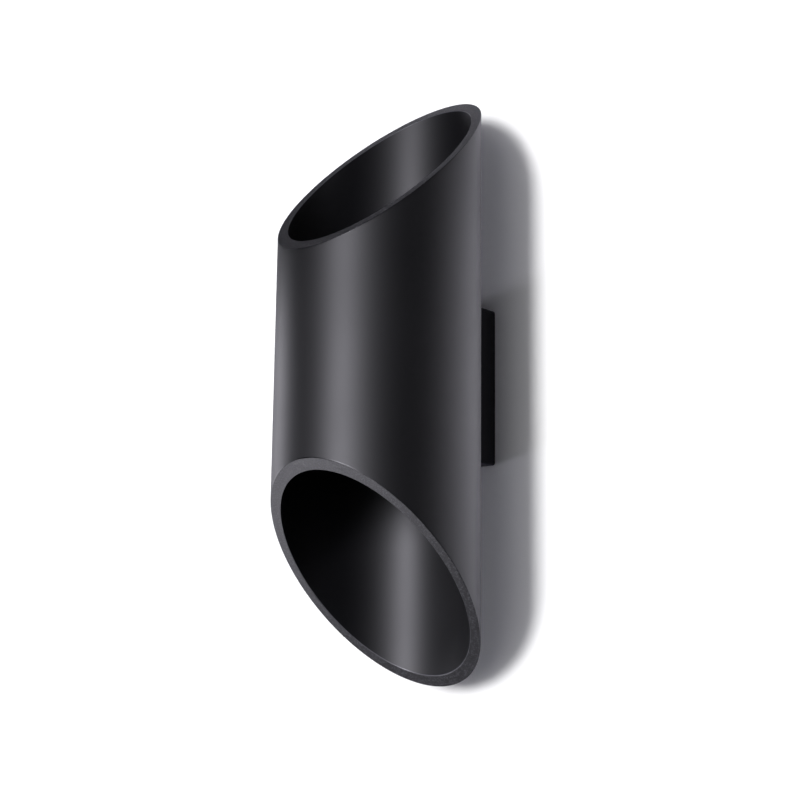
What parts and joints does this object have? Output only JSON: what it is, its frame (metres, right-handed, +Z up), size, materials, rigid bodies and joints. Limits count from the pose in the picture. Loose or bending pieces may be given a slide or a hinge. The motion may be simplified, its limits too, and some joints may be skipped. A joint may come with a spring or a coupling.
{
  "type": "tube wall light",
  "caption": "Up and down wall light: a thick round tube mitred at both ends on a small box canopy that slides over a wall bracket, with back-to-back capsule lampholders inside.",
  "frame": {"origin": "middle of the bracket's two wall slots, on the wall face", "axes": "+Y goes into the wall, +Z is up along the tube, and the light stands out towards -Y"},
  "size_m": [0.1, 0.1181, 0.3],
  "materials": {
    "tube_coat": "satin",
    "canopy_coat": "satin",
    "black_screw": "satin",
    "zinc_steel": "satin",
    "porcelain": "satin",
    "spring_nickel": "polished",
    "brown_silicone": "satin",
    "blue_silicone": "satin",
    "earth_silicone": "satin",
    "glass_sleeve": "matte",
    "black_nylon": "matte",
    "natural_nylon": "satin",
    "bright_brass": "satin",
    "tinned_copper": "satin"
  },
  "bodies": {
    "wall_bracket": {"wall_bracket": "zinc_steel", "wall_bracket_nuts": "zinc_steel"},
    "lamp": {"tube_shade": "tube_coat", "canopy": "canopy_coat", "tube_screws": "zinc_steel", "tube_screw_washers": "zinc_steel", "tube_screw_nuts": "zinc_steel", "lampholder_bracket": "zinc_steel", "upper_lampholder": "porcelain", "lower_lampholder": "porcelain", "upper_lamp_contacts": "spring_nickel", "lower_lamp_contacts": "spring_nickel", "lampholder_screws": "zinc_steel", "lampholder_nuts": "zinc_steel", "lead_bush": "black_nylon", "lead_sleeve": "glass_sleeve", "upper_live_lead": "brown_silicone", "lower_live_lead": "brown_silicone", "upper_neutral_lead": "blue_silicone", "lower_neutral_lead": "blue_silicone", "earth_lead": "earth_silicone", "lead_ferrules": "tinned_copper", "terminal_block": "natural_nylon", "terminal_inserts": "bright_brass", "terminal_screws": "zinc_steel", "terminal_block_studs": "zinc_steel", "terminal_block_nuts": "zinc_steel", "earth_stud": "zinc_steel", "earth_star_washer": "zinc_steel", "earth_lug": "tinned_copper", "earth_nut": "bright_brass"},
    "upper_clamp_screw": {"upper_clamp_screw": "black_screw"},
    "lower_clamp_screw": {"lower_clamp_screw": "black_screw"}
  },
  "joints": [
    {"name": "lamp_lift_off", "type": "slide", "parent": "wall_bracket", "child": "lamp", "axis": [0, -1, 0], "range_m": [0, 0.025]},
    {"name": "upper_clamp_screw_back_off", "type": "slide", "parent": "wall_bracket", "child": "upper_clamp_screw", "axis": [0, 0, 1], "range_m": [0, 0.003]},
    {"name": "lower_clamp_screw_back_off", "type": "slide", "parent": "wall_bracket", "child": "lower_clamp_screw", "axis": [0, 0, -1], "range_m": [0, 0.003]}
  ]
}
